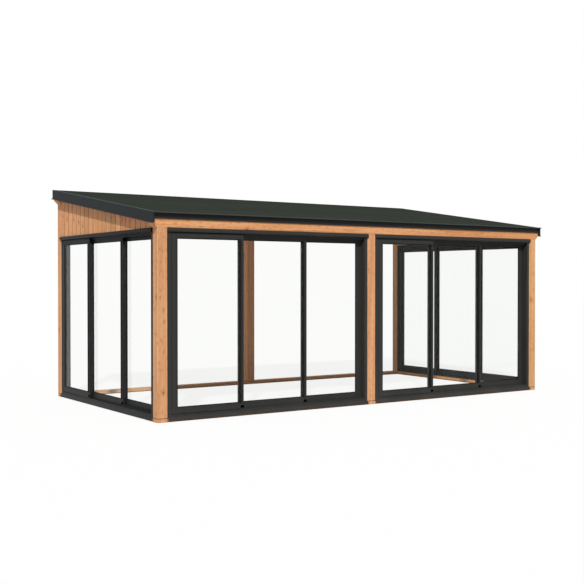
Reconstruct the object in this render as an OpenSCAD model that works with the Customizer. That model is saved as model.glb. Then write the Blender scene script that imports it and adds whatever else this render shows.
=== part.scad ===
// Garden house with a lean-to roof: a timber frame of six posts and two beams,
// glazed sliding doors in the front and in both sides, and an open back.
// Millimetres, Z up. The building is laid out from the outer corner of its
// front left post, and place() then brings the middle of its base to the origin.

/* [Plan] */
// Clear width of each of the two front openings
front_opening = 2780; // [2200:10:3600]
// Clear width of each side opening
side_opening = 2780; // [2200:10:3600]
// Side of the square posts
post = 120; // [100:5:160]
// Chamfer along the edges of posts and beams
timber_chamfer = 4; // [1:1:8]
// Depth of the dark joint line between a post and the foot block under it
joint_d = 5; // [2:1:10]
// Height of that line
joint_h = 4; // [2:1:8]

/* [Heights] */
// Underside of the front beam, which is also the top of the door frames
head_z = 2135; // [1700:5:2700]
// Height of the wooden sills that lie on the ground
sill_h = 50; // [40:5:90]
// Height of the foot blocks that the posts stand on
foot_h = 48; // [30:2:90]
// Height of both beams
beam_h = 100; // [80:5:160]
// How far the beam ends run out past the corner posts
beam_nose = 50; // [40:2:60]
// Height and length of the sloping cut at the foot of a beam end
nose_cut = 46; // [20:2:60]
// Radius that softens the corners of that cut
nose_r = 8; // [4:1:12]

/* [Roof] */
// Fall of the roof, from the back down to the front, in degrees
pitch = 8.6; // [5:0.1:12]
// Width of a rafter
rafter_w = 45; // [35:5:70]
// Height of a rafter, measured plumb
rafter_h = 95; // [80:5:160]
// Least height of rafter that is left over a beam
rafter_seat = 44; // [30:2:60]
// Number of gaps between the rafters, from one side wall to the other
rafter_gaps = 8; // [6:1:12]
// Thickness of the roof boards
deck_t = 20; // [16:1:28]
// Thickness of the roofing felt
felt_t = 4; // [3:1:6]
// Hairline gap between sloping parts that lie on each other
seam = 0.1; // [0.05:0.05:0.5]
// How far the roof stands out past the front posts
front_overhang = 50; // [40:5:90]
// How far it stands out past the corner posts at either side
side_overhang = 66; // [60:1:120]

/* [Roof edges] */
// Height of the sheet metal fascia at the sides and the back
fascia_h = 122; // [100:2:160]
// Thickness of the fascia
fascia_t = 4; // [3:1:6]
// How far the drip lip at its foot stands out
lip = 12; // [8:1:16]
// Width of the flange that laps over the felt
flange_w = 34; // [20:2:60]
// How far the side fascias stand out past the front posts
fascia_front = 30; // [18:1:32]
// Width of the return at the front end of a side fascia
return_w = 22; // [16:1:30]
// How far the drip strip along the front edge hangs below the felt's face
drip_h = 5; // [4:1:10]
// How far that strip stands up above the felt
drip_rise = 9; // [5:1:14]
// Thickness of the dark board above the front beam
band_t = 12; // [8:1:20]
// How far that board laps down over the beam
band_lap = 6; // [2:1:30]
// Chamfer along the upper edge of a side fascia
edge_chamfer = 3; // [1:0.5:3]

/* [Gables] */
// Thickness of the gable boards
board_t = 18; // [14:1:24]
// How far they lie back from the outer face of the posts
board_set_back = 2; // [0:1:10]
// Gap between the rail over a side door and the rafter above it
rail_clear = 7; // [4:1:20]

/* [Door frames] */
// Width of a jamb as it is seen from outside
jamb_w = 50; // [40:2:70]
// How far the frame lies back from the outer face of the posts
frame_set_back = 3; // [2:1:8]
// Height of the frame's head
head_h = 48; // [36:2:60]
// How far the head cover stands out in front of the posts
cover_t = 22; // [18:1:30]
// Radius of the head cover's outer edges
cover_r = 16; // [6:1:18]
// Width of the dark gap between the outer flange and each post
shadow_gap = 8; // [4:1:12]
// Depth of that gap
shadow_gap_d = 14; // [8:1:20]
// Thickness of the tracks' outer flanges
flange_t = 6; // [4:1:8]
// How far the sloping weather bar at its foot stands out in front of the posts
bar_out = 24; // [10:1:40]
// Height of the bar's outer edge above the ground
bar_low = 20; // [5:1:35]
// Height at which the bar leaves the outer flange
bar_high = 48; // [36:1:50]
// Thickness of the bar, measured plumb
bar_t = 4; // [3:0.5:8]
// Thickness of the bottom track's base
track_t = 16; // [10:1:24]
// Thickness of the dividers between the tracks
divider_t = 4; // [3:0.5:6]
// Gap between a leaf and a divider
side_gap = 5.5; // [5:0.5:8]
// Gap between the innermost leaf and the back of the frame
back_gap = 3; // [1:1:8]
// Depth of the grooves in the jambs
groove = 12; // [8:1:20]
// Width of the rail that a leaf rolls on
roller_rail = 6; // [4:1:8]
// Height of that rail over the base
roller_rail_h = 12; // [6:1:12]

/* [Door leaves] */
// Gap between a leaf and the rail under it
roll_gap = 6; // [5:1:10]
// Gap between a leaf and the frame's jambs
run_gap = 5; // [5:1:10]
// Gap between a leaf's top and the frame's head
top_gap = 7; // [6:1:12]
// How far the dividers reach past the edges of the leaves, at the foot
divider_cover = 8; // [5:1:20]
// How far the dividers hang down from the head
head_divider_h = 28; // [15:1:40]
// Width of the stile that closes on a jamb
stile_w = 60; // [50:2:80]
// Width of the narrow stiles where two leaves meet
interlock_w = 33; // [28:1:50]
// How far closed leaves lap over each other
leaf_lap = 43; // [36:1:60]
// Height of the top rail
top_rail = 55; // [45:1:80]
// Height of the bottom rail
bottom_rail = 66; // [50:1:110]
// How much wider the middle leaf is than a third of the whole
middle_extra = 33; // [0:1:60]
// Thickness of the glass
glass_t = 8; // [6:1:10]
// How far the glass reaches into its frame
glass_bite = 12; // [6:1:20]

/* [Hidden] */
body_w = 2 * front_opening + 3 * post;
body_d = side_opening + 2 * post;
fall = tan(pitch);
roof_t = deck_t + felt_t;
roof_front = -front_overhang;
roof_back = body_d + fascia_t + lip;
// How far the foot of a return lies above the foot of its fascia
return_lift = 2;

// Height of the felt's upper face at a distance y behind the front posts' outer face
roof_at_face = head_z + beam_h + rafter_seat + roof_t;
function roof_z(y) = roof_at_face + y * fall;
rear_beam_z = roof_z(body_d - post) - roof_t - rafter_seat - beam_h;
rail_top = roof_z(post) - roof_t - rafter_h - rail_clear;

// Door unit: its parts lie along s, from the left jamb as seen from outside, and back in depth
head_low = head_z - head_h;
leaf_t = (post - frame_set_back - back_gap - 2 * divider_t - 4 * side_gap) / 3;
track_pitch = leaf_t + 2 * side_gap + divider_t;
sill_set_back = frame_set_back + flange_t;
track_top = sill_h + track_t;
leaf_low = track_top + roller_rail_h + roll_gap;
leaf_high = head_low - top_gap;
flange_top = leaf_low - run_gap;

function leaf_share(w) = (w - 2 * jamb_w - 2 * run_gap + 2 * leaf_lap) / 3;
function leaf_w(w, i) = leaf_share(w) + (i == 1 ? middle_extra : i == 2 ? -middle_extra : 0);
function leaf_s(w, i) = i == 0 ? jamb_w + run_gap : leaf_s(w, i - 1) + leaf_w(w, i - 1) - leaf_lap;
function leaf_d(i) = frame_set_back + i * track_pitch;
function left_stile(i) = i == 0 ? stile_w : interlock_w;
function right_stile(i) = i == 2 ? stile_w : interlock_w;

timber = [0.80, 0.56, 0.39];
board_wood = [0.76, 0.55, 0.40];
alu = [0.20, 0.20, 0.21];
fascia_metal = [0.21, 0.21, 0.23];
felt_green = [0.20, 0.22, 0.20];
clear_glass = [0.80, 0.86, 0.88, 0.35];

// ---- placing ----

// From the layout's corner to the middle of the base
module place() translate([-body_w / 2, -(roof_front + roof_back) / 2, 0]) children();

// A profile drawn in Y and Z, run along X
module along_x(x0, x1) translate([x0, 0, 0]) rotate([90, 0, 90]) linear_extrude(x1 - x0) children();

// A face drawn upright, along the front or a door unit, as a plate from one depth to another
module plate(d0, d1) translate([0, d1, 0]) rotate([90, 0, 0]) linear_extrude(d1 - d0) children();

// A block from one corner to the other
module block(low, high) translate(low) cube(high - low);

// The left bay, right bay, left side and right side as the place of a door unit
module at_unit(unit) {
    if (unit == "left_bay") translate([post, 0, 0]) children();
    if (unit == "right_bay") translate([2 * post + front_opening, 0, 0]) children();
    if (unit == "left_side") translate([0, body_d - post, 0]) rotate([0, 0, -90]) children();
    if (unit == "right_side") translate([body_w, post, 0]) rotate([0, 0, 90]) children();
}
function unit_w(unit) = unit == "left_bay" || unit == "right_bay" ? front_opening : side_opening;

// ---- timber frame ----

// A square section with chamfered edges
module section(w, h) {
    c = timber_chamfer;
    polygon([[c, 0], [w - c, 0], [w, c], [w, h - c], [w - c, h], [c, h], [0, h - c], [0, c]]);
}

// Three posts in a row, or what stands in their places
module at_posts(y) for (i = [0:2]) translate([i * (post + front_opening), y, 0]) children();

// A post from its foot block up
module post_to(top) translate([0, 0, foot_h]) linear_extrude(top - foot_h) section(post, post);

module front_posts() color(timber) place() at_posts(0) post_to(head_z);

module rear_posts() color(timber) place() at_posts(body_d - post) post_to(rear_beam_z);

// A block under a post, stepped in at the top so that the joint shows as a dark line
module foot_block() {
    linear_extrude(foot_h - joint_h) section(post, post);
    block([joint_d, joint_d, 0], [post - joint_d, post - joint_d, foot_h]);
}

module post_feet() color(timber) place() for (y = [0, body_d - post]) at_posts(y) foot_block();

// A beam across the whole front or back, its ends cut to a slope past the posts
module beam(y, z) {
    x0 = -beam_nose;
    x1 = body_w + beam_nose;
    intersection() {
        translate([0, y, z]) along_x(x0, x1) section(post, beam_h);
        translate([0, y + post, z]) rotate([90, 0, 0]) linear_extrude(post) beam_face(x0, x1);
    }
}

// The beam as it is seen from the front
module beam_face(x0, x1) hull() {
    translate([x0, beam_h - nose_r]) square([x1 - x0, nose_r]);
    translate([x0, 0]) nose_corners();
    translate([x1, 0]) mirror([1, 0]) nose_corners();
}

// The two soft corners of the cut at the left end of a beam
module nose_corners() {
    turn = nose_r * tan(45 / 2);
    for (corner = [[nose_r, nose_cut + turn], [nose_cut + turn, nose_r]])
        translate(corner) circle(nose_r, $fn = 32);
}

module front_beam() color(timber) place() beam(0, head_z);

module rear_beam() color(timber) place() beam(body_d - post, rear_beam_z);

// The low timbers between the posts, on the ground
module sills() color(timber) place() {
    for (i = [0:1]) {
        x = post + i * (post + front_opening);
        block([x, sill_set_back, 0], [x + front_opening, post, sill_h]);
        block([x, body_d - post, 0], [x + front_opening, body_d - sill_set_back, sill_h]);
    }
    block([sill_set_back, post, 0], [post, body_d - post, sill_h]);
    block([body_w - post, post, 0], [body_w - sill_set_back, body_d - post, sill_h]);
}

// The timber over each side door, behind the gable boards
module side_head_rails() color(timber) place() {
    inner = board_set_back + board_t;
    block([inner, post, head_z], [post, body_d - post, rail_top]);
    block([body_w - post, post, head_z], [body_w - inner, body_d - post, rail_top]);
}

// ---- roof ----

// A layer that follows the roof's fall, its faces at two depths below the felt's upper face
module roof_layer(y0, y1, top, bottom) {
    polygon([
        [y0, roof_z(y0) - bottom], [y1, roof_z(y1) - bottom],
        [y1, roof_z(y1) - top], [y0, roof_z(y0) - top]
    ]);
}

// A rafter seen from the side, notched level over both beams
module rafter_side() {
    difference() {
        roof_layer(0, body_d, roof_t + seam, roof_t + rafter_h);
        translate([-1, 0]) square([post + 1, head_z + beam_h]);
        translate([body_d - post, 0]) square([post + 1, rear_beam_z + beam_h]);
    }
}

module rafters() color(timber) place() {
    first = board_set_back + board_t;
    last = body_w - first - rafter_w;
    for (i = [0:rafter_gaps]) {
        x = first + i * (last - first) / rafter_gaps;
        along_x(x, x + rafter_w) rafter_side();
    }
    along_x(-side_overhang, -side_overhang + rafter_w) rafter_side();
    along_x(body_w + side_overhang - rafter_w, body_w + side_overhang) rafter_side();
}

module roof_deck() color(timber) place()
    along_x(-side_overhang, body_w + side_overhang)
        roof_layer(0, body_d, felt_t + seam, roof_t);

module roof_felt() color(felt_green) place()
    along_x(-side_overhang, body_w + side_overhang)
        roof_layer(roof_front + fascia_t, body_d, 0, felt_t);

// ---- gables ----

module gable(x) along_x(x, x + board_t)
    polygon([
        [post, head_z], [body_d - post, head_z],
        [body_d - post, roof_z(body_d - post) - roof_t - seam], [post, roof_z(post) - roof_t - seam]
    ]);

module left_gable() color(board_wood) place() gable(board_set_back);

module right_gable() color(board_wood) place() gable(body_w - board_set_back - board_t);

// ---- roof edges ----

// The dark board that laps over the front beam and the roof boards, up to the felt
module front_band() color(fascia_metal) place()
    along_x(-side_overhang, body_w + side_overhang)
        polygon([
            [-band_t, head_z + beam_h - band_lap], [0, head_z + beam_h - band_lap],
            [0, roof_z(0) - felt_t - seam], [-band_t, roof_z(-band_t) - felt_t - seam]
        ]);

// The drip strip, with a flange that laps back over the felt as far as the side fascias
module front_drip() color(fascia_metal) place()
    along_x(-side_overhang, body_w + side_overhang) {
        roof_layer(roof_front, roof_front + fascia_t, -drip_rise, drip_h);
        roof_layer(roof_front, -fascia_front, -fascia_t, -seam);
    }

// The left fascia; the right one is its mirror image. Its sheet, flange and lip follow the
// roof's fall, and both ends are cut plumb.
module side_fascia() {
    t = fascia_t;
    h = fascia_h * cos(pitch);
    intersection() {
        translate([-side_overhang, 0, roof_at_face]) rotate([90 + pitch, 0, 0]) mirror([1, 0, 0])
            translate([0, 0, -2 * body_d]) linear_extrude(4 * body_d)
                polygon([
                    [t - flange_w, seam], [0, seam], [0, -h], [t + lip, -h], [t, lip - h],
                    [t, t - edge_chamfer], [t - edge_chamfer, t], [t - flange_w, t]
                ]);
        block([-side_overhang - t - lip, -fascia_front, 0], [flange_w, body_d + t, 2 * roof_at_face]);
    }
    plate(-fascia_front, t - fascia_front) return_face();
}

// The return at the front end of the left fascia, its lower inner corner cut away
module return_face() {
    x0 = -side_overhang - fascia_t / 2;
    x1 = -side_overhang - fascia_t + return_w;
    edge = roof_z(-fascia_front);
    polygon([
        [x0, edge - fascia_h + return_lift], [x0 + fascia_t, edge - fascia_h + return_lift],
        [x1, edge - fascia_h + return_lift + return_w], [x1, edge - felt_t - seam], [x0, edge - felt_t - seam]
    ]);
}

module left_fascia() color(fascia_metal) place() side_fascia();

module right_fascia() color(fascia_metal) place() translate([body_w, 0, 0]) mirror([1, 0, 0]) side_fascia();

module rear_fascia() color(fascia_metal) place() {
    back = body_d + fascia_t;
    foot = roof_z(body_d) - fascia_h;
    flange_x = -side_overhang - fascia_t + flange_w;
    block([-side_overhang, body_d, foot], [body_w + side_overhang, back, roof_z(body_d)]);
    along_x(flange_x, body_w - flange_x) {
        roof_layer(back - flange_w, back, -fascia_t, -seam);
        roof_layer(body_d, back, -fascia_t, fascia_t);
    }
    along_x(-side_overhang - fascia_t - lip, body_w + side_overhang + fascia_t + lip)
        polygon([[back, foot], [roof_back, foot], [back, foot + lip]]);
}

// ---- door frames ----

// The face of the frame's outer flange: jambs and foot around the doorway
module flange_face(w) difference() {
    translate([0, bar_high]) square([w, head_low - bar_high]);
    translate([jamb_w, flange_top]) square([w - 2 * jamb_w, head_low - flange_top]);
}

// The end of the weather bar, which sheds water past the sill
module bar_end() polygon([
    [-bar_out, bar_low], [frame_set_back, bar_high], [sill_set_back, bar_high],
    [sill_set_back, bar_high + bar_t], [frame_set_back, bar_high + bar_t], [-bar_out, bar_low + bar_t]
]);

// The head cover's end, with its outer edges rounded
module cover_end() {
    inner = cover_r - cover_t;
    translate([inner, head_low]) square([frame_set_back - inner, head_h]);
    translate([-cover_t, head_low + cover_r]) square([cover_r, head_h - 2 * cover_r]);
    for (z = [head_low + cover_r, head_z - cover_r]) translate([inner, z]) circle(cover_r, $fn = 48);
}

// The frame's outer flange, head, jambs and tracks
module frame_core(w) {
    jamb_core = jamb_w - groove;
    plate(frame_set_back, sill_set_back) flange_face(w);
    // head, and the dividers that hang from it
    block([0, frame_set_back, head_low], [w, post, head_z]);
    for (i = [0:1]) {
        d = leaf_d(i) + leaf_t + side_gap;
        block([jamb_core, d, head_low - head_divider_h], [w - jamb_core, d + divider_t, head_low + 1]);
        block([jamb_core, d, sill_h], [w - jamb_core, d + divider_t, leaf_low + divider_cover]);
        for (s = [jamb_core - 1, w - jamb_w])
            block([s, d, sill_h], [s + groove + 1, d + divider_t, head_low + 1]);
    }
    // jambs
    for (s = [0, w - jamb_core]) block([s, frame_set_back, sill_h], [s + jamb_core, post, head_low + 1]);
    // bottom track with a rail under each leaf
    block([0, frame_set_back, sill_h], [w, post, track_top]);
    for (i = [0:2]) {
        d = leaf_d(i) + (leaf_t - roller_rail) / 2;
        block([jamb_core, d, track_top - 1], [w - jamb_core, d + roller_rail, track_top + roller_rail_h]);
    }
}

// The aluminium frame of one door unit, with a dark gap beside each post
module door_frame(w) {
    difference() {
        frame_core(w);
        for (s = [0, w]) block([s - shadow_gap, 0, 0], [s + shadow_gap, shadow_gap_d, head_low]);
    }
    along_x(0, w) cover_end();
    along_x(0, w) bar_end();
}

module unit_frame(unit) color(alu) place() at_unit(unit) door_frame(unit_w(unit));

module left_bay_frame() unit_frame("left_bay");

module right_bay_frame() unit_frame("right_bay");

module left_side_frame() unit_frame("left_side");

module right_side_frame() unit_frame("right_side");

// ---- door leaves ----

// The space of one pane, which its frame's groove fits
module pane(w, i) {
    d = leaf_d(i) + (leaf_t - glass_t) / 2;
    s0 = leaf_s(w, i) + left_stile(i) - glass_bite;
    s1 = leaf_s(w, i) + leaf_w(w, i) - right_stile(i) + glass_bite;
    block([s0, d, leaf_low + bottom_rail - glass_bite], [s1, d + glass_t, leaf_high - top_rail + glass_bite]);
}

// The aluminium frame of leaf i, its corners left square
module leaf(w, i) {
    s0 = leaf_s(w, i);
    s1 = s0 + leaf_w(w, i);
    d = leaf_d(i);
    difference() {
        block([s0, d, leaf_low], [s1, d + leaf_t, leaf_high]);
        block([s0 + left_stile(i), d - 1, leaf_low + bottom_rail],
              [s1 - right_stile(i), d + leaf_t + 1, leaf_high - top_rail]);
        pane(w, i);
    }
}

module unit_leaf(unit, i) color(alu) place() at_unit(unit) leaf(unit_w(unit), i - 1);

module unit_glass(unit, i) color(clear_glass) place() at_unit(unit) pane(unit_w(unit), i - 1);

module left_bay_leaf_1() unit_leaf("left_bay", 1);

module left_bay_leaf_2() unit_leaf("left_bay", 2);

module left_bay_leaf_3() unit_leaf("left_bay", 3);

module right_bay_leaf_1() unit_leaf("right_bay", 1);

module right_bay_leaf_2() unit_leaf("right_bay", 2);

module right_bay_leaf_3() unit_leaf("right_bay", 3);

module left_side_leaf_1() unit_leaf("left_side", 1);

module left_side_leaf_2() unit_leaf("left_side", 2);

module left_side_leaf_3() unit_leaf("left_side", 3);

module right_side_leaf_1() unit_leaf("right_side", 1);

module right_side_leaf_2() unit_leaf("right_side", 2);

module right_side_leaf_3() unit_leaf("right_side", 3);

module left_bay_glass_1() unit_glass("left_bay", 1);

module left_bay_glass_2() unit_glass("left_bay", 2);

module left_bay_glass_3() unit_glass("left_bay", 3);

module right_bay_glass_1() unit_glass("right_bay", 1);

module right_bay_glass_2() unit_glass("right_bay", 2);

module right_bay_glass_3() unit_glass("right_bay", 3);

module left_side_glass_1() unit_glass("left_side", 1);

module left_side_glass_2() unit_glass("left_side", 2);

module left_side_glass_3() unit_glass("left_side", 3);

module right_side_glass_1() unit_glass("right_side", 1);

module right_side_glass_2() unit_glass("right_side", 2);

module right_side_glass_3() unit_glass("right_side", 3);

front_posts();
rear_posts();
post_feet();
front_beam();
rear_beam();
sills();
side_head_rails();
rafters();
roof_deck();
roof_felt();
left_gable();
right_gable();
front_band();
front_drip();
left_fascia();
right_fascia();
rear_fascia();
left_bay_frame();
right_bay_frame();
left_side_frame();
right_side_frame();
left_bay_leaf_1();
left_bay_leaf_2();
left_bay_leaf_3();
right_bay_leaf_1();
right_bay_leaf_2();
right_bay_leaf_3();
left_side_leaf_1();
left_side_leaf_2();
left_side_leaf_3();
right_side_leaf_1();
right_side_leaf_2();
right_side_leaf_3();
left_bay_glass_1();
left_bay_glass_2();
left_bay_glass_3();
right_bay_glass_1();
right_bay_glass_2();
right_bay_glass_3();
left_side_glass_1();
left_side_glass_2();
left_side_glass_3();
right_side_glass_1();
right_side_glass_2();
right_side_glass_3();
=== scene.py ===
import math
import random
import bpy
import bmesh
from mathutils import Matrix, Vector


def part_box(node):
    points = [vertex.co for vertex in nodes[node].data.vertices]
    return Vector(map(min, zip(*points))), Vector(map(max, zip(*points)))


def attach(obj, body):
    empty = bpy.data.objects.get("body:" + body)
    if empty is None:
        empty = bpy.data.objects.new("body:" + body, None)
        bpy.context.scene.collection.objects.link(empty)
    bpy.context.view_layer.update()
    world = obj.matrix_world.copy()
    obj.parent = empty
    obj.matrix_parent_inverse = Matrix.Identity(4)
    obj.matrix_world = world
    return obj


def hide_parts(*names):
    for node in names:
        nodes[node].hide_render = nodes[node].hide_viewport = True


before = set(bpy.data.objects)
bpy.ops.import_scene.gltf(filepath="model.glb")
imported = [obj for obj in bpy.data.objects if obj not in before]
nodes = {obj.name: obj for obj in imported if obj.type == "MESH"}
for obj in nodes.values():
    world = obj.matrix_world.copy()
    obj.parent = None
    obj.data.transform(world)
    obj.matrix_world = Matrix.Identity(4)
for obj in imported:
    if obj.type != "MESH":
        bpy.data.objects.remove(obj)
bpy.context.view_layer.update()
units = ("left_bay", "right_bay", "left_side", "right_side")
leaves = (1, 2, 3)
print("frame loaded:", len(nodes), "parts")


# small helpers

def tone(red, green, blue):
    # a screen colour, 0 to 255, as a scene colour
    def linear(value):
        value /= 255
        return value / 12.92 if value <= 0.04045 else ((value + 0.055) / 1.055) ** 2.4
    return (linear(red), linear(green), linear(blue), 1.0)


def feed(tree, socket, value):
    # links a socket to another one, or sets its value
    if isinstance(value, bpy.types.NodeSocket):
        tree.links.new(value, socket)
    else:
        socket.default_value = value


def put(tree, kind, inputs=(), **settings):
    # one node with its settings, and its inputs set or linked
    node = tree.nodes.new("ShaderNode" + kind)
    for name, value in settings.items():
        setattr(node, name, value)
    for name, value in dict(inputs).items():
        feed(tree, node.inputs[name], value)
    return node


def calc(tree, operation, first, second=0.0, third=0.0, clamp=False):
    node = put(tree, "Math", operation=operation, use_clamp=clamp)
    for socket, value in zip(node.inputs, (first, second, third)):
        feed(tree, socket, value)
    return node.outputs[0]


def opposite(tree, value):
    # what is missing to 1
    return calc(tree, "SUBTRACT", 1.0, value)


def swing(tree, value, reach):
    # a value from 0 to 1 as a share of the first number, added to the second
    return calc(tree, "MULTIPLY_ADD", value, *reach)


def blendColour(tree, share, first, second, mode="MIX"):
    node = put(tree, "Mix", data_type="RGBA", blend_type=mode)
    for name, value in (("Factor_Float", share), ("A_Color", first), ("B_Color", second)):
        feed(tree, next(s for s in node.inputs if s.identifier == name), value)
    return next(s for s in node.outputs if s.identifier == "Result_Color")


def shaded(tree, colour, light):
    # a colour made lighter or darker by a factor
    grey = put(tree, "CombineColor", {"Red": light, "Green": light, "Blue": light}).outputs[0]
    return blendColour(tree, 1.0, colour, grey, "MULTIPLY")


def axisParts(tree, vector):
    return put(tree, "SeparateXYZ", {"Vector": vector}).outputs


def objectPlace(tree):
    return put(tree, "TexCoord").outputs["Object"]


def between(tree, value, low, high):
    # 0 below low, 1 above high, soft in between; the other way round where low is the higher one
    node = put(tree, "MapRange", {"Value": value, "From Min": low, "From Max": high},
               interpolation_type="SMOOTHSTEP")
    return node.outputs["Result"]


def stretched(tree, position, scale):
    return put(tree, "VectorMath", {0: position, 1: scale}, operation="MULTIPLY").outputs[0]


def noise(tree, position, scale=1.0, detail=2.0, roughness=0.5):
    node = put(tree, "TexNoise", {"Vector": position, "Scale": scale, "Detail": detail,
                                  "Roughness": roughness})
    return node.outputs["Fac"]


def grainNoise(tree, position, stretch, detail, roughness):
    # noise with its own scale along each axis
    return noise(tree, stretched(tree, position, stretch), 1.0, detail, roughness)


def newGroup(name, inputs, outputs):
    group = bpy.data.node_groups.new(name, "ShaderNodeTree")
    for label, kind, value in inputs:
        socket = group.interface.new_socket(name=label, in_out="INPUT", socket_type="NodeSocket" + kind)
        if value is not None:
            socket.default_value = value
    for label, kind in outputs:
        group.interface.new_socket(name=label, in_out="OUTPUT", socket_type="NodeSocket" + kind)
    source = group.nodes.new("NodeGroupInput")
    result = group.nodes.new("NodeGroupOutput")
    return group, source.outputs, result.inputs


def newMaterial(name):
    material = bpy.data.materials.new(name)
    material.use_nodes = True
    tree = material.node_tree
    tree.nodes.clear()
    output = tree.nodes.new("ShaderNodeOutputMaterial")
    shader = tree.nodes.new("ShaderNodeBsdfPrincipled")
    tree.links.new(shader.outputs["BSDF"], output.inputs["Surface"])
    return material, tree, shader


def useGroup(tree, group, inputs):
    node = tree.nodes.new("ShaderNodeGroup")
    node.node_tree = group
    for name, value in inputs.items():
        feed(tree, node.inputs[name], value)
    return node.outputs


def seenPlainly(tree):
    # what the camera sees directly, in a gloss or through glass
    path = put(tree, "LightPath").outputs
    seen = calc(tree, "MAXIMUM", path["Is Camera Ray"], path["Is Glossy Ray"])
    return calc(tree, "MAXIMUM", seen, path["Is Transmission Ray"])


def overrideSurface(tree, share, first, second):
    # mixes two shaders, and sends them to the output in place of the one shader
    mix = put(tree, "MixShader", {0: share, 1: first, 2: second})
    output = next(node for node in tree.nodes if node.type.startswith("OUTPUT"))
    tree.links.new(mix.outputs[0], output.inputs["Surface"])


def addBump(tree, shader, height, distance, strength=1.0):
    bump = put(tree, "Bump", {"Height": height, "Distance": distance, "Strength": strength})
    tree.links.new(bump.outputs["Normal"], shader.inputs["Normal"])


# camera and light

viewpoint = dict(place=(-7.699, -11.201, 1.559), tilt=-0.691, turn=-33.796, lens=60.71, sensor=36.0,
                 reach=300)
daylight = dict(sunFrom=(-0.49, -0.66, 0.7), sunPower=2.85, sunSize=2.5, sunTint=(1.0, 0.985, 0.96),
                skyPower=0.40, skyTint=(0.97, 0.985, 1.0, 1.0))
ground = dict(reach=60.0, shade=0.12, bounce=0.60, roughness=0.9)
plainWhite = (1.0, 1.0, 1.0, 1.0)


def makeCamera():
    lens = bpy.data.cameras.new("viewpoint")
    lens.lens = viewpoint["lens"]
    lens.sensor_width = viewpoint["sensor"]
    lens.clip_end = viewpoint["reach"]
    camera = bpy.data.objects.new("viewpoint", lens)
    camera.location = viewpoint["place"]
    camera.rotation_euler = (math.radians(90 + viewpoint["tilt"]), 0, math.radians(viewpoint["turn"]))
    bpy.context.scene.collection.objects.link(camera)
    bpy.context.scene.camera = camera


def makeLight():
    sun = bpy.data.lights.new("sun", "SUN")
    sun.energy = daylight["sunPower"]
    sun.angle = math.radians(daylight["sunSize"])
    sun.color = daylight["sunTint"]
    lamp = bpy.data.objects.new("sun", sun)
    lamp.rotation_euler = Vector(daylight["sunFrom"]).to_track_quat("Z", "Y").to_euler()
    bpy.context.scene.collection.objects.link(lamp)

    world = bpy.data.worlds.new("soft sky")
    world.use_nodes = True
    bpy.context.scene.world = world
    tree = world.node_tree
    tree.nodes.clear()
    tree.nodes.new("ShaderNodeOutputWorld")
    sky = put(tree, "Background", {"Color": daylight["skyTint"], "Strength": daylight["skyPower"]})
    white = put(tree, "Background", {"Color": plainWhite, "Strength": 1.0})
    overrideSurface(tree, seenPlainly(tree), sky.outputs[0], white.outputs[0])


def makeFloor():
    # seen directly the floor is white and keeps a soft shadow
    material, tree, shader = newMaterial("pale floor")
    shader.inputs["Base Color"].default_value = (ground["bounce"],) * 3 + (1.0,)
    shader.inputs["Roughness"].default_value = ground["roughness"]
    shader.inputs["Specular IOR Level"].default_value = 0.0
    glow = put(tree, "Emission", {"Color": plainWhite, "Strength": 1.0})
    lit = put(tree, "BsdfDiffuse", {"Color": plainWhite})
    plain = put(tree, "MixShader", {0: ground["shade"], 1: glow.outputs[0], 2: lit.outputs[0]})
    overrideSurface(tree, seenPlainly(tree), shader.outputs[0], plain.outputs[0])
    shape = bmesh.new()
    bmesh.ops.create_grid(shape, x_segments=1, y_segments=1, size=ground["reach"])
    floor = meshObject("floor", shape, material)


def meshObject(name, shape, material):
    mesh = bpy.data.meshes.new(name)
    shape.to_mesh(mesh)
    shape.free()
    mesh.materials.append(material)
    piece = bpy.data.objects.new(name, mesh)
    bpy.context.scene.collection.objects.link(piece)
    return piece


bpy.context.scene.view_settings.view_transform = "Standard"
makeCamera()
makeLight()
makeFloor()
print("camera, light and floor made")


# timber

timberTones = dict(pale=(225, 176, 130), warm=(212, 153, 103), deep=(172, 110, 66))
beamTones = dict(pale=(233, 174, 124), warm=(218, 150, 99), deep=(174, 106, 64))
gableTones = dict(pale=(232, 178, 130), warm=(212, 148, 99), deep=(164, 100, 59))
roofTones = dict(pale=(226, 178, 132), warm=(208, 156, 110), deep=(168, 112, 70))
knotTone = (84, 46, 26)
# painted light on sloping timber corners: a painted highlight on planed ones, painted shade in the joints
# between boards
edgeLightAndShadeTones = dict(planedHighlight=(222, 178, 138), joint=(98, 62, 37))
edgeLightAndShadeShares = dict(planedHighlight=0.35, joint=0.75)
timberBump = dict(deep=0.0006, strength=0.6, shine=0.15)
paintedShadeShare = 0.7
# how one timber differs from the next: its place in the figure and its hue
pieceVariety = dict(shift=(13.7, 7.3, 41.9), single=0.37, second=91.7, hue=(0.012, 0.494))

# knots: how many, how long along the grain, how big, how ragged
knotLayout = dict(scale=6.5, along=0.62, size=(0.0085, 0.0028), ragged=(1.5, -0.75), sideShift=3.3)
# year rings: how many across, how far they wander, ripple and part round a knot, how sharp they are
ringLayout = dict(acrossX=640.0, acrossY=470.0, wander=95.0, ripple=9.0, parting=7.0, sharp=2.4)
# each noise: its stretch along X, Y and Z with the grain along Z, its detail and its roughness
grainNoises = dict(
    ragged=((110, 110, 45), 3.0, 0.5),
    wander=((5.0, 5.0, 0.55), 3.0, 0.5),
    ripple=((24.0, 24.0, 2.2), 2.0, 0.5),
    late=((14.0, 14.0, 0.8), 2.0, 0.5),
    streak=((34.0, 34.0, 0.9), 4.0, 0.6),
    drift=((3.0, 3.0, 0.9), 3.0, 0.5),
    fibre=((420.0, 420.0, 9.0), 3.0, 0.65),
    fleck=((230.0, 230.0, 22.0), 2.0, 0.5),
    mark=((38.0, 38.0, 15.0), 4.0, 0.7))
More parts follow.
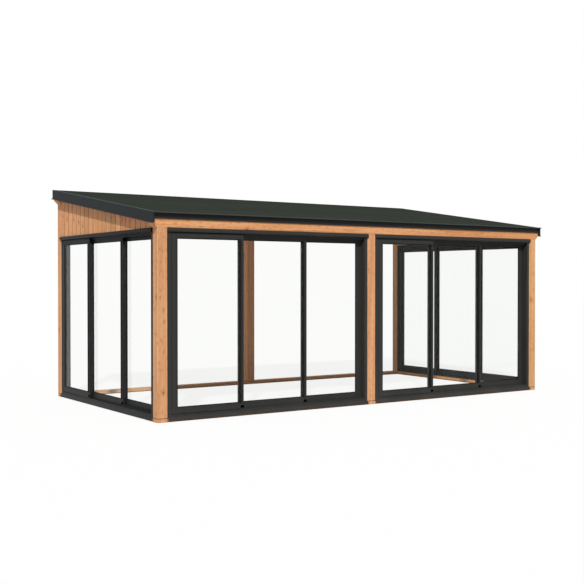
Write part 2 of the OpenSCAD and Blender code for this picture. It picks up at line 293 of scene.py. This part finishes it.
# where each effect starts and ends
grainSteps = dict(core=(0.55, 1.1), halo=(0.9, 5.0), late=(0.34, 0.66), streak=(0.30, 0.70),
                  fleck=(0.62, 0.74), mark=(0.52, 0.68), corner=(0.35, 0.6))
# how strongly each effect shows, or how far it swings and from what base
grainShares = dict(fleck=0.28, halo=0.55, core=0.9, mark=0.62)
grainSwings = dict(late=(0.5, 0.14), drift=(0.34, 0.83), fibre=(0.22, 0.89), corner=(0.8, 0.6),
                   roughness=(0.22, 0.46))
grainRelief = dict(late=0.6, fibre=0.5, knot=0.5, knotPolish=0.14)


def makeTimberFigure():
    tree, given, result = newGroup(
        "timber figure",
        [("Position", "Vector", None), ("Facing", "Vector", None), ("Piece", "Float", 0.0),
         ("Pale", "Color", tone(*timberTones["pale"])), ("Warm", "Color", tone(*timberTones["warm"])),
         ("Deep", "Color", tone(*timberTones["deep"])), ("Painted edge", "Color", tone(*edgeLightAndShadeTones["planedHighlight"])),
         ("Painted edge share", "Float", 0.4), ("Knots", "Float", 0.6), ("Contrast", "Float", 1.0)],
        [("Color", "Color"), ("Roughness", "Float"), ("Height", "Float")])
    # each timber is cut from its own place in the figure
    shift = put(tree, "VectorMath", {0: pieceVariety["shift"]}, operation="SCALE")
    tree.links.new(given["Piece"], shift.inputs["Scale"])
    place = put(tree, "VectorMath", {0: given["Position"], 1: shift.outputs[0]}, operation="ADD").outputs[0]
    axes = axisParts(tree, place)
    facing = axisParts(tree, given["Facing"])
    facingX = calc(tree, "ABSOLUTE", facing["X"])
    facingY = calc(tree, "ABSOLUTE", facing["Y"])
    sideways = calc(tree, "GREATER_THAN", facingX, facingY)
    across = calc(tree, "ADD", calc(tree, "MULTIPLY", axes["Y"], sideways),
                  calc(tree, "MULTIPLY", axes["X"], opposite(tree, sideways)))

    def pattern(name):
        return grainNoise(tree, place, *grainNoises[name])

    def step(name, value):
        return between(tree, value, *grainSteps[name])

    def spread(name, value):
        return swing(tree, value, grainSwings[name])

    # knots: branches that run straight in from each face
    scale = knotLayout["scale"]
    spotX = calc(tree, "MULTIPLY_ADD", sideways, knotLayout["sideShift"], across)
    spotY = calc(tree, "MULTIPLY", axes["Z"], knotLayout["along"])
    spot = put(tree, "CombineXYZ", {"X": spotX, "Y": spotY}).outputs[0]
    cells = put(tree, "TexVoronoi", {"Vector": spot, "Scale": scale, "Randomness": 1.0},
                voronoi_dimensions="2D", feature="F1")
    dice = put(tree, "SeparateColor", {"Color": cells.outputs["Color"]}).outputs
    far = calc(tree, "DIVIDE", cells.outputs["Distance"], scale)
    size = swing(tree, calc(tree, "POWER", dice["Red"], 2.0), knotLayout["size"])
    there = calc(tree, "LESS_THAN", dice["Green"], given["Knots"])
    ratio = calc(tree, "DIVIDE", far, size)
    ratio = calc(tree, "ADD", ratio, swing(tree, pattern("ragged"), knotLayout["ragged"]))
    core = calc(tree, "MULTIPLY", opposite(tree, step("core", ratio)), there)
    halo = calc(tree, "MULTIPLY", opposite(tree, step("halo", ratio)), there)

    # year rings, wandering along the grain and parting round the knots
    rings = calc(tree, "ADD", calc(tree, "MULTIPLY", axes["X"], ringLayout["acrossX"]),
                 calc(tree, "MULTIPLY", axes["Y"], ringLayout["acrossY"]))
    rings = calc(tree, "MULTIPLY_ADD", pattern("wander"), ringLayout["wander"], rings)
    rings = calc(tree, "MULTIPLY_ADD", pattern("ripple"), ringLayout["ripple"], rings)
    rings = calc(tree, "MULTIPLY_ADD", halo, ringLayout["parting"], rings)
    wave = calc(tree, "MULTIPLY_ADD", calc(tree, "SINE", rings), 0.5, 0.5)
    late = calc(tree, "POWER", wave, ringLayout["sharp"])
    late = calc(tree, "MULTIPLY", late, spread("late", step("late", pattern("late"))))

    # broad streaks, fine fibres and a slow drift of tone
    drift = pattern("drift")
    fibre = pattern("fibre")
    fleck = step("fleck", pattern("fleck"))
    colour = blendColour(tree, step("streak", pattern("streak")), given["Pale"], given["Warm"])
    contrast = calc(tree, "MULTIPLY", late, given["Contrast"], clamp=True)
    colour = blendColour(tree, contrast, colour, given["Deep"])
    colour = blendColour(tree, calc(tree, "MULTIPLY", fleck, grainShares["fleck"]), colour, given["Deep"])
    colour = shaded(tree, colour, calc(tree, "MULTIPLY", spread("drift", drift), spread("fibre", fibre)))
    colour = blendColour(tree, calc(tree, "MULTIPLY", halo, grainShares["halo"]), colour, given["Deep"])
    colour = blendColour(tree, calc(tree, "MULTIPLY", core, grainShares["core"]), colour, tone(*knotTone))
    # resin and small dark marks, longer than they are wide
    mark = calc(tree, "MULTIPLY", step("mark", pattern("mark")), grainShares["mark"])
    colour = blendColour(tree, mark, colour, given["Deep"])
    # sloping corners: planed ones get a painted highlight, paler than the faces; those in a board joint get
    # painted shade, dark
    turned = calc(tree, "MINIMUM", facingX, facingY)
    corner = calc(tree, "MULTIPLY", step("corner", turned), spread("corner", drift))
    corner = calc(tree, "MULTIPLY", corner, given["Painted edge share"], clamp=True)
    tree.links.new(blendColour(tree, corner, colour, given["Painted edge"]), result["Color"])

    polish = calc(tree, "MULTIPLY", core, grainRelief["knotPolish"])
    tree.links.new(calc(tree, "SUBTRACT", spread("roughness", fibre), polish), result["Roughness"])
    relief = calc(tree, "MULTIPLY_ADD", late, grainRelief["late"],
                  calc(tree, "MULTIPLY", fibre, grainRelief["fibre"]))
    tree.links.new(calc(tree, "MULTIPLY_ADD", core, grainRelief["knot"], relief), result["Height"])
    return tree


timberFigure = makeTimberFigure()


def alongGrain(tree, source, axis):
    # turns a position or a normal so that the grain runs along its Z
    if axis == "Z":
        return source
    part = axisParts(tree, source)
    order = ("Y", "Z", "X") if axis == "X" else ("Z", "X", "Y")
    turned = {to: part[name] for to, name in zip("XYZ", order)}
    return put(tree, "CombineXYZ", turned).outputs[0]


def timberMaterial(name, axis, tones, knots, contrast=1.0, pieceFrom=None, pieceStep=1.0, spread=0.10,
                   sidesFrom=None, edge="planedHighlight", paintedShade=None):
    # pieceFrom is the axis that tells one timber from the next, or the name of a mesh attribute
    # edge picks the painted light on sloping corners: planedHighlight for a painted highlight, joint for
    # painted shade
    material, tree, shader = newMaterial(name)
    spot = put(tree, "TexCoord").outputs
    place = axisParts(tree, spot["Object"])
    if pieceFrom in ("X", "Y", "Z"):
        index = calc(tree, "ROUND", calc(tree, "DIVIDE", place[pieceFrom], pieceStep))
        dice = put(tree, "TexWhiteNoise", {"W": index}, noise_dimensions="1D").outputs["Value"]
    elif pieceFrom:
        dice = put(tree, "Attribute", attribute_name=pieceFrom).outputs["Fac"]
    else:
        dice = pieceVariety["single"]
    position, facing = (alongGrain(tree, spot[name], axis) for name in ("Object", "Normal"))
    if sidesFrom:
        # timbers further out than this lie along Y
        side = calc(tree, "GREATER_THAN", calc(tree, "ABSOLUTE", place["X"]), sidesFrom)
        position, facing = (
            put(tree, "Mix", {"Factor": side, "A": first, "B": alongGrain(tree, spot[name], "Y")},
                data_type="VECTOR").outputs["Result"]
            for name, first in (("Object", position), ("Normal", facing)))
    figure = useGroup(tree, timberFigure, {
        "Position": position, "Facing": facing, "Piece": dice,
        "Pale": tone(*tones["pale"]), "Warm": tone(*tones["warm"]), "Deep": tone(*tones["deep"]),
        "Painted edge": tone(*edgeLightAndShadeTones[edge]), "Painted edge share": edgeLightAndShadeShares[edge],
        "Knots": knots, "Contrast": contrast})
    colour = figure["Color"]
    if pieceFrom:
        other = put(tree, "TexWhiteNoise", {"W": calc(tree, "MULTIPLY", dice, pieceVariety["second"])},
                    noise_dimensions="1D")
        turn = swing(tree, other.outputs["Value"], pieceVariety["hue"])
        value = calc(tree, "MULTIPLY_ADD", dice, spread * 2, 1 - spread)
        colour = put(tree, "HueSaturation", {"Hue": turn, "Value": value, "Color": colour}).outputs[0]
    if paintedShade:
        # painted shade: darker past the first of these heights, and full at the second
        paintedShadeMask = calc(tree, "MULTIPLY", between(tree, place["Z"], *paintedShade), paintedShadeShare)
        colour = blendColour(tree, paintedShadeMask, colour, tone(*edgeLightAndShadeTones["joint"]))
    tree.links.new(colour, shader.inputs["Base Color"])
    tree.links.new(figure["Roughness"], shader.inputs["Roughness"])
    shader.inputs["Specular IOR Level"].default_value = timberBump["shine"]
    addBump(tree, shader, figure["Height"], timberBump["deep"], timberBump["strength"])
    return material


def dress(node, material, edge=0.0):
    # gives a CAD part its finish, and softens its edges
    part = nodes[node]
    part.data.materials.clear()
    part.data.materials.append(material)
    if edge:
        weld = part.modifiers.new("weld", "WELD")
        weld.merge_threshold = softEdges["weld"]
        soften = part.modifiers.new("soften", "BEVEL")
        soften.width = edge
        soften.segments = softEdges["segments"]
        soften.limit_method = "ANGLE"
        soften.angle_limit = math.radians(softEdges["angle"])


softEdges = dict(weld=0.00002, segments=2, angle=25, rafters=0.002, frames=0.0008)

postWood = timberMaterial("post timber", "Z", timberTones, knots=0.28, pieceFrom="X", pieceStep=2.9,
                          spread=0.04)
# painted shade: the foot blocks darken at their top, where the posts stand on them; the sills darken near
# the ground, under the weather bar
footWood = timberMaterial("foot block timber", "Z", timberTones, knots=0.2, pieceFrom="X", pieceStep=2.9,
                          spread=0.04, paintedShade=(0.036, 0.043))
beamWood = timberMaterial("beam timber", "X", beamTones, knots=0.25, contrast=0.9)
sillWood = timberMaterial("sill timber", "X", timberTones, knots=0.25, contrast=0.9, sidesFrom=2.84,
                          paintedShade=(0.017, 0.008))
railWood = timberMaterial("side rail timber", "Y", timberTones, knots=0.25, contrast=0.9, pieceFrom="X",
                          pieceStep=3.0, spread=0.04)
rafterWood = timberMaterial("rafter timber", "Y", roofTones, knots=0.3, contrast=0.9, pieceFrom="X",
                            pieceStep=0.3, spread=0.05)
gableWood = timberMaterial("gable boards", "Z", gableTones, knots=0.3, contrast=1.1, pieceFrom="board",
                           spread=0.07, edge="joint")
deckWood = timberMaterial("roof boards", "X", roofTones, knots=0.35, pieceFrom="board", spread=0.08,
                          edge="joint")
for node in ("front_posts", "rear_posts"):
    dress(node, postWood)
for node in ("front_beam", "rear_beam"):
    dress(node, beamWood)
dress("post_feet", footWood)
dress("sills", sillWood)
dress("side_head_rails", railWood)
dress("rafters", rafterWood, softEdges["rafters"])
print("timber dressed")


# metal, rubber, glass and felt

coatWear = dict(peel=420.0, deep=0.00012, strength=0.5, smear=(9.0, 9.0, 1.4), light=(0.24, 0.88),
                dust=(104, 98, 88), cloud=2.6, patches=(0.42, 0.75), settles=(0.02, 0.30),
                lowShare=(0.8, 0.2), smearRoughness=0.16, dustRoughness=(0.4, 0.36))


def makeCoatFinish():
    # powder coat: slight orange peel, a trace of dust that settles low down
    tree, given, result = newGroup(
        "coat finish", [("Position", "Vector", None), ("Tint", "Color", (0.03, 0.03, 0.03, 1.0)),
                        ("Dust", "Float", 0.3)],
        [("Color", "Color"), ("Roughness", "Float"), ("Height", "Float")])
    peel = noise(tree, given["Position"], coatWear["peel"], 2.0, 0.4)
    cloud = noise(tree, given["Position"], coatWear["cloud"], 4.0, 0.6)
    smear = grainNoise(tree, given["Position"], coatWear["smear"], 4.0, 0.6)
    low = opposite(tree, between(tree, axisParts(tree, given["Position"])["Z"], *coatWear["settles"]))
    dust = calc(tree, "MULTIPLY", between(tree, cloud, *coatWear["patches"]),
                swing(tree, low, coatWear["lowShare"]))
    dust = calc(tree, "MULTIPLY", dust, given["Dust"])
    colour = shaded(tree, given["Tint"], swing(tree, smear, coatWear["light"]))
    colour = blendColour(tree, dust, colour, tone(*coatWear["dust"]))
    tree.links.new(colour, result["Color"])
    roughness = calc(tree, "MULTIPLY_ADD", smear, coatWear["smearRoughness"],
                     swing(tree, dust, coatWear["dustRoughness"]))
    tree.links.new(roughness, result["Roughness"])
    tree.links.new(peel, result["Height"])
    return tree


coatFinish = makeCoatFinish()


def coatMaterial(name, tint, dust=0.12, shine=0.06, topShadeTint=None):
    material, tree, shader = newMaterial(name)
    spot = objectPlace(tree)
    colour = tone(*tint)
    if topShadeTint:
        # painted shade: the top of the doors, close under the roof edge, is darker than the rest
        high = axisParts(tree, spot)["Z"]
        colour = blendColour(tree, between(tree, high, *topShadeHeights), colour, tone(*topShadeTint))
    finish = useGroup(tree, coatFinish, {"Position": spot, "Tint": colour, "Dust": dust})
    tree.links.new(finish["Color"], shader.inputs["Base Color"])
    tree.links.new(finish["Roughness"], shader.inputs["Roughness"])
    shader.inputs["Specular IOR Level"].default_value = shine
    addBump(tree, shader, finish["Height"], coatWear["deep"], coatWear["strength"])
    return material


rubberWear = dict(grime=(44, 43, 42), clouds=60.0, roughness=(0.2, 0.6), grain=900.0, deep=0.0001,
                  strength=0.5)


def rubberAndShadowMaterial(name, tint, worn=0.5, shine=0.2):
    material, tree, shader = newMaterial(name)
    spot = objectPlace(tree)
    grime = noise(tree, spot, rubberWear["clouds"], 3.0)
    colour = blendColour(tree, calc(tree, "MULTIPLY", grime, worn), tone(*tint), tone(*rubberWear["grime"]))
    tree.links.new(colour, shader.inputs["Base Color"])
    tree.links.new(swing(tree, grime, rubberWear["roughness"]), shader.inputs["Roughness"])
    shader.inputs["Specular IOR Level"].default_value = shine
    grain = noise(tree, spot, rubberWear["grain"], 2.0)
    addBump(tree, shader, grain, rubberWear["deep"], rubberWear["strength"])
    return material


pane = dict(tint=(0.962, 0.972, 0.958, 1.0), bending=1.18, smear=(2.0, 2.0, 0.7), smeared=(0.45, 0.8),
            smearRoughness=0.018, letsThrough=(0.93, 0.95, 0.94, 1.0))


def glassMaterial():
    # light from the lamps passes straight through, without its shadow
    material, tree, shader = newMaterial("clear pane")
    shader.inputs["Base Color"].default_value = pane["tint"]
    shader.inputs["Transmission Weight"].default_value = 1.0
    shader.inputs["IOR"].default_value = pane["bending"]
    smear = between(tree, grainNoise(tree, objectPlace(tree), pane["smear"], 4.0, 0.6), *pane["smeared"])
    tree.links.new(calc(tree, "MULTIPLY", smear, pane["smearRoughness"]), shader.inputs["Roughness"])
    path = put(tree, "LightPath").outputs
    lamp = calc(tree, "MAXIMUM", path["Is Shadow Ray"], path["Is Diffuse Ray"])
    clear = put(tree, "BsdfTransparent", {"Color": pane["letsThrough"]})
    overrideSurface(tree, lamp, shader.outputs[0], clear.outputs[0])
    return material


feltTones = dict(pale=(60, 66, 59), deep=(52, 57, 51), moss=(54, 62, 54))
feltGrit = dict(scale=520.0, deep=0.0008, strength=0.6, light=(0.5, 0.75), roughness=(0.2, 0.75),
                streak=(0.8, 12.0, 12.0), streaked=(0.2, 0.8), cloud=(1.2, 2.2, 2.2), clouded=(0.4, 0.75),
                mossShare=0.35, courseLight=(0.12, 0.94))


def feltMaterial():
    # mineral felt: grit, slow streaks across the fall, mossy clouds
    material, tree, shader = newMaterial("roofing felt")
    spot = objectPlace(tree)
    grit = put(tree, "TexVoronoi", {"Vector": spot, "Scale": feltGrit["scale"]}, feature="F1").outputs
    flake = put(tree, "SeparateColor", {"Color": grit["Color"]}).outputs["Red"]
    streak = between(tree, grainNoise(tree, spot, feltGrit["streak"], 3.0, 0.5), *feltGrit["streaked"])
    cloud = between(tree, grainNoise(tree, spot, feltGrit["cloud"], 4.0, 0.6), *feltGrit["clouded"])
    course = put(tree, "Attribute", attribute_name="course").outputs["Fac"]
    colour = blendColour(tree, streak, tone(*feltTones["deep"]), tone(*feltTones["pale"]))
    moss = calc(tree, "MULTIPLY", cloud, feltGrit["mossShare"])
    colour = blendColour(tree, moss, colour, tone(*feltTones["moss"]))
    light = calc(tree, "MULTIPLY", swing(tree, flake, feltGrit["light"]),
                 swing(tree, course, feltGrit["courseLight"]))
    tree.links.new(shaded(tree, colour, light), shader.inputs["Base Color"])
    tree.links.new(swing(tree, flake, feltGrit["roughness"]), shader.inputs["Roughness"])
    shader.inputs["Specular IOR Level"].default_value = 0.0
    addBump(tree, shader, opposite(tree, grit["Distance"]), feltGrit["deep"], feltGrit["strength"])
    return material


# painted shade: the side frame and side leaf tones are darker than the bay tone of the same coat
coatTones = dict(bay=(54, 54, 53), sideFrameShaded=(39, 41, 42), sideFrameTopShade=(25, 28, 29),
                 sideLeafShaded=(43, 44, 44), sideLeafTopShade=(19, 22, 24),
                 fascia=(44, 47, 49), band=(43, 44, 43), drip=(64, 67, 65))
# painted shade under the head: above these heights the side doors take their darker top tone
topShadeHeights = (2.005, 2.03)  # the side doors turn to their top tone between these heights
rubberAndShadowTones = dict(gasket=(18, 18, 18), shadowBlock=(4, 4, 4))
bayCoat = coatMaterial("bay unit coat", coatTones["bay"])
shadedSideFrameCoat = coatMaterial("side frame coat, painted shade", coatTones["sideFrameShaded"], dust=0.01,
                             topShadeTint=coatTones["sideFrameTopShade"])
shadedSideLeafCoat = coatMaterial("side leaf coat, painted shade", coatTones["sideLeafShaded"], dust=0.01,
                            topShadeTint=coatTones["sideLeafTopShade"])
fasciaCoat = coatMaterial("fascia coat", coatTones["fascia"], dust=0.05, shine=0.02)
bandCoat = coatMaterial("band coat", coatTones["band"], dust=0.05)
dripCoat = coatMaterial("drip coat", coatTones["drip"], dust=0.1)
gasketRubber = rubberAndShadowMaterial("gasket rubber", rubberAndShadowTones["gasket"])
shadowBlockBlack = rubberAndShadowMaterial("painted shadow block", rubberAndShadowTones["shadowBlock"], worn=0.05, shine=0.0)
paneGlass = glassMaterial()
roofFelt = feltMaterial()


# swept pieces

def facesRound(verts):
    # every face that touches these points, each once
    return list(dict.fromkeys(face for vert in verts for face in vert.link_faces))


def sweep(shape, outline, low, high, placed, soften=0.0, corners=None):
    # an outline swept from low to high; soften rounds the long edges named in corners, or all of them
    ring = [shape.verts.new(placed @ Vector((u, v, low))) for u, v in outline]
    foot = shape.faces.new(ring)
    grown = bmesh.ops.extrude_face_region(shape, geom=[foot])["geom"]
    top = [item for item in grown if isinstance(item, bmesh.types.BMVert)]
    bmesh.ops.translate(shape, verts=top, vec=placed.to_3x3() @ Vector((0, 0, high - low)))
    faces = facesRound(ring + top)
    bmesh.ops.recalc_face_normals(shape, faces=faces)
    if soften:
        chosen = ring if corners is None else [ring[index] for index in corners]
        uprights = [edge for vert in chosen for edge in vert.link_edges
                    if edge.other_vert(vert) not in ring]
        made = bmesh.ops.bevel(shape, geom=uprights, offset=soften, offset_type="OFFSET", affect="EDGES",
                               segments=2, profile=0.5, material=-1)
        faces = list(dict.fromkeys(face for face in faces + made["faces"] if face.is_valid))
    return faces


def axesOf(first, second, third, origin):
    # places a sweep: its outline lies along first and second, and it grows along third
    turned = Matrix((first, second, third)).transposed().to_4x4()
    turned.translation = origin
    return turned


def newPiece(name, shape, material, body, slot, *stoodFor):
    # a new piece on its body, in place of the CAD parts named last
    piece = meshObject(name, shape, material)
    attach(piece, body)
    if stoodFor:
        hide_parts(*stoodFor)
    return piece


def tagFaces(layer, faces, value):
    # marks one board or course, so that its tone differs from the next
    for vert in {vert for face in faces for vert in face.verts}:
        vert[layer] = value


# boards with tongues and grooves: the gables and the roof

boarding = dict(joint=0.005, tongue=0.007, reach=0.008, play=0.0015, least=0.001)
gableBoards = dict(pitch=0.137, clear=0.0002, seed=11)
deckBoards = dict(count=25, seed=5)


def boardOutline(width, thick, tongue=True):
    # seen along the board: groove at the near edge, tongue at the far one, V joints on both faces
    joint, reach, play = (boarding[name] for name in ("joint", "reach", "play"))
    low, high = (thick - boarding["tongue"]) / 2, (thick + boarding["tongue"]) / 2
    far = width - play
    farEdge = [(far, low), (far + reach, low), (far + reach, high), (far, high)] if tongue else []
    return [(joint, 0), (far - joint, 0), (far, joint)] + farEdge + [
        (far, thick - joint), (far - joint, thick), (joint, thick), (0, thick - joint),
        (0, high + play / 2), (reach + play, high + play / 2), (reach + play, low - play / 2),
        (0, low - play / 2), (0, joint)]


def roofFall():
    # how far the roof rises for each metre back
    low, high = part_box("roof_felt")
    return (high.z - low.z - feltCourses["thick"]) / (high.y - low.y)


def makeGables():
    # boards from the back forward; the right gable is the left one mirrored
    for node, mirrored in (("left_gable", False), ("right_gable", True)):
        low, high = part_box("left_gable")
        dice = random.Random(gableBoards["seed"] + mirrored)
        shape = bmesh.new()
        layer = shape.verts.layers.float.new("board")
        edge, last = high.y, low.y + boarding["least"]
        while edge > last:
            width = min(gableBoards["pitch"], edge - low.y)
            outline = boardOutline(width, high.x - low.x, edge - width > last)
            placed = axesOf((0, -1, 0), (1, 0, 0), (0, 0, 1), (low.x, edge, 0))
            tagFaces(layer, sweep(shape, outline, low.z, high.z, placed), dice.random())
            edge -= width
        whole = shape.verts[:] + shape.edges[:] + shape.faces[:]
        cut = bmesh.ops.bisect_plane(
            shape, geom=whole, dist=1e-6, plane_co=(0, high.y, high.z - gableBoards["clear"]),
            plane_no=(0, -roofFall(), 1), clear_outer=True)["geom_cut"]
        rims = [item for item in cut if isinstance(item, bmesh.types.BMEdge)]
        bmesh.ops.holes_fill(shape, edges=rims, sides=0)
        if mirrored:
            bmesh.ops.scale(shape, verts=shape.verts, vec=(-1, 1, 1))
        bmesh.ops.recalc_face_normals(shape, faces=shape.faces)
        newPiece(node + "_boards", shape, gableWood, "house", "gable_boards", node)


def makeDeck():
    low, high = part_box("roof_deck")
    fall = roofFall()
    thick = high.z - low.z - fall * (high.y - low.y)
    pitch = (high.y - low.y) / deckBoards["count"]
    dice = random.Random(deckBoards["seed"])
    shape = bmesh.new()
    layer = shape.verts.layers.float.new("board")
    for index in range(deckBoards["count"]):
        outline = boardOutline(pitch, thick, index < deckBoards["count"] - 1)
        start = (0, low.y + index * pitch, low.z + index * pitch * fall)
        placed = axesOf((0, 1, fall), (0, 0, 1), (1, 0, 0), start)
        tagFaces(layer, sweep(shape, outline, low.x, high.x, placed), dice.random())
    newPiece("roof_boards", shape, deckWood, "house", "roof_boards", "roof_deck")


# felt courses, each lapping over the one below it

feltCourses = dict(thick=0.004, lowEdge=0.0039, highEdge=0.0022, course=0.505, first=0.186, least=0.001,
                   seed=3)


def makeFelt():
    low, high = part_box("roof_felt")
    fall = roofFall()
    dice = random.Random(feltCourses["seed"])
    shape = bmesh.new()
    layer = shape.verts.layers.float.new("course")
    start, length = low.y, feltCourses["first"]
    while start < high.y - feltCourses["least"]:
        length = min(length, high.y - start)
        outline = [(0, 0), (length, 0), (length, feltCourses["highEdge"]), (0, feltCourses["lowEdge"])]
        corner = (0, start, low.z + (start - low.y) * fall)
        placed = axesOf((0, 1, fall), (0, 0, 1), (1, 0, 0), corner)
        tagFaces(layer, sweep(shape, outline, low.x, high.x, placed), dice.random())
        start += length
        length = feltCourses["course"]
    newPiece("felt_courses", shape, roofFelt, "house", "felt", "roof_felt")


makeGables()
makeDeck()
makeFelt()
print("gables, roof boards and felt made")


# door leaves: aluminium stiles and rails, rubber round the panes

leafSection = dict(bite=0.012, beadFrom=0.014, beadTo=0.0125, beadDeep=0.0012, round=0.0012, joint=0.0002)
gasket = dict(width=0.011, proud=0.003, slope=0.0015, left=0.016, right=0.018, lastRight=0.005,
              sideLeft=0.034)
edgeStrip = dict(width=0.013, proud=0.0095, foot=0.070, top=0.060, round=0.001)
# the shadow block is a painted shadow: a near-black block where the stile's foot shows a dark gap
shadowBlockSize = dict(foot=0.009, height=0.030, width=0.042, inset=0.001, deep=0.008, proud=0.0015, round=0.0004)


def unitAxes(unit):
    # a door unit's own axes: along it from the left jamb as seen from outside, inward, and up
    low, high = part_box(unit + "_frame")
    if unit == "left_side":
        return axesOf((0, -1, 0), (1, 0, 0), (0, 0, 1), (low.x, high.y, 0))
    if unit == "right_side":
        return axesOf((0, 1, 0), (-1, 0, 0), (0, 0, 1), (high.x, low.y, 0))
    return axesOf((1, 0, 0), (0, 1, 0), (0, 0, 1), (low.x, low.y, 0))


def unitCoat(unit, leaf=True):
    # the bays have one coat; the sides have darker ones for painted shade, one for the leaves and one for
    # the frame
    if unit.endswith("bay"):
        return bayCoat
    return shadedSideLeafCoat if leaf else shadedSideFrameCoat


def boxAlong(axes, node):
    # a part's lowest and highest corners in a unit's own axes
    corners = [axes.inverted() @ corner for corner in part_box(node)]
    return Vector(map(min, *corners)), Vector(map(max, *corners))


def memberOutline(width, thick, glass):
    # a stile or rail from its outer edge to its pane: a pocket for the pane, a bead line on both faces
    near, far = (thick - glass) / 2, (thick + glass) / 2
    bite, groove, ridge, deep = (leafSection[name] for name in ("bite", "beadFrom", "beadTo", "beadDeep"))
    return [(0, 0), (width - groove, 0), (width - groove, deep), (width - ridge, deep), (width - ridge, 0),
            (width, 0), (width, near), (width - bite, near), (width - bite, far), (width, far),
            (width, thick), (width - ridge, thick), (width - ridge, thick - deep),
            (width - groove, thick - deep), (width - groove, thick), (0, thick)]


def addBar(shape, axes, along, inward, up, soften):
    # an upright bar in a unit's own axes, its two outer edges rounded
    (left, right), (front, back), (foot, top) = along, inward, up
    outline = [(left, front), (right, front), (right, back), (left, back)]
    sweep(shape, outline, foot, top, axes, soften, (0, 1))


def makeLeaf(unit, index, axes):
    leafLow, leafHigh = boxAlong(axes, f"{unit}_leaf_{index}")
    paneLow, paneHigh = boxAlong(axes, f"{unit}_glass_{index}")
    bite = Vector((leafSection["bite"], 0, leafSection["bite"]))
    openLow, openHigh = paneLow + bite, paneHigh - bite
    thick, glass = leafHigh.y - leafLow.y, paneHigh.y - paneLow.y
    along, inward, up = (axes.to_3x3().col[n] for n in range(3))
    outermost = (0, 5, 10, 15)  # the four corners of memberOutline that get rounded
    shape = bmesh.new()

    def member(first, second, third, corner, width, low, high):
        outline = memberOutline(width, thick, glass)
        placed = axesOf(first, second, third, axes @ Vector(corner))
        sweep(shape, outline, low, high, placed, leafSection["round"], outermost)

    height = leafHigh.z - leafLow.z
    member(along, inward, up, leafLow, openLow.x - leafLow.x, 0, height)
    member(-along, -inward, up, (leafHigh.x, leafHigh.y, leafLow.z), leafHigh.x - openHigh.x, 0, height)
    ends = (openLow.x + leafSection["joint"], openHigh.x - leafSection["joint"])
    member(up, -inward, along, (0, leafHigh.y, leafLow.z), openLow.z - leafLow.z, *ends)
    member(-up, inward, along, (0, leafLow.y, leafHigh.z), leafHigh.z - openHigh.z, *ends)
    name = f"{unit}_leaf_{index}"
    body = f"{unit}_door_{index}"
    newPiece(f"{name}_rails", shape, unitCoat(unit), body, "leaf_metal", name)

    rubber = bmesh.new()
    meetsNext = index < leaves[-1]
    wideLeft = index == leaves[0] and unit.endswith("side")
    sides = (gasket["sideLeft" if wideLeft else "left"], gasket["right" if meetsNext else "lastRight"])
    for depth, outward in ((paneLow.y, -1), (paneHigh.y, 1)):
        addGasket(rubber, axes, openLow, openHigh, depth, outward, sides)
    if meetsNext:
        # the stile that meets the next leaf carries a strip over its pane, and low on its outer face a
        # near-black block, a painted shadow standing for the dark gap at its foot
        addBar(rubber, axes, (openHigh.x - edgeStrip["width"], openHigh.x),
               (leafLow.y - edgeStrip["proud"], paneLow.y),
               (leafLow.z + edgeStrip["foot"], leafHigh.z - edgeStrip["top"]), edgeStrip["round"])
        face, side = leafLow.y - shadowBlockSize["proud"], leafHigh.x - shadowBlockSize["inset"]
        foot = leafLow.z + shadowBlockSize["foot"]
        shadowBlock = bmesh.new()
        addBar(shadowBlock, axes, (side - shadowBlockSize["width"], side), (face, face + shadowBlockSize["deep"]),
               (foot, foot + shadowBlockSize["height"]), shadowBlockSize["round"])
        newPiece(f"{name}_cap", shadowBlock, shadowBlockBlack, body, "leaf_metal")
    newPiece(f"{name}_gaskets", rubber, gasketRubber, body, "leaf_metal")


def addGasket(shape, axes, low, high, depth, outward, sides):
    # a ring round the pane's face, wider along the stiles, its inner edge lower than its outer one
    outer = [axes @ Vector((x, depth, z)) for x, z in
             ((low.x, low.z), (high.x, low.z), (high.x, high.z), (low.x, high.z))]
    pane = shape.faces.new([shape.verts.new(corner) for corner in outer])
    pane.normal_update()
    ring = bmesh.ops.inset_region(shape, faces=[pane], thickness=gasket["width"], use_boundary=True,
                                  use_even_offset=True)["faces"]
    bmesh.ops.delete(shape, geom=[pane], context="FACES_ONLY")
    grown = bmesh.ops.extrude_face_region(shape, geom=ring)["geom"]
    top = [item for item in grown if isinstance(item, bmesh.types.BMVert)]
    inner = [vert for vert in top if min((vert.co - corner).length for corner in outer) > gasket["width"]]
    way = axes.to_3x3() @ Vector((0, outward, 0))
    bmesh.ops.translate(shape, verts=top, vec=way * gasket["proud"])
    bmesh.ops.translate(shape, verts=inner, vec=-way * gasket["slope"])
    back = axes.inverted()
    middle = (low.x + high.x) / 2
    base = [vert for face in ring for vert in face.verts]
    for vert in set(base + top):
        # the inner corners are drawn in to the width of their side
        place = (back @ vert.co).x
        side, edge, turn = (0, low.x, 1) if place < middle else (1, high.x, -1)
        if abs(place - edge) > gasket["width"] / 2:
            vert.co += axes.to_3x3().col[0] * turn * (sides[side] - gasket["width"])
    whole = facesRound([vert for face in facesRound(top) for vert in face.verts])
    bmesh.ops.recalc_face_normals(shape, faces=whole)


for unit in units:
    axes = unitAxes(unit)
    for index in leaves:
        makeLeaf(unit, index, axes)
print("door leaves made")


# finish of the parts that stay as they are

for unit in units:
    dress(unit + "_frame", unitCoat(unit, leaf=False), softEdges["frames"])
    for index in leaves:
        dress(f"{unit}_leaf_{index}", unitCoat(unit))
        dress(f"{unit}_glass_{index}", paneGlass)
for node in ("left_fascia", "right_fascia", "rear_fascia"):
    dress(node, fasciaCoat)
dress("front_band", bandCoat)
dress("front_drip", dripCoat)
dress("roof_felt", roofFelt)
dress("roof_deck", deckWood)
for node in ("left_gable", "right_gable"):
    dress(node, gableWood)
print("metal, glass and felt dressed")
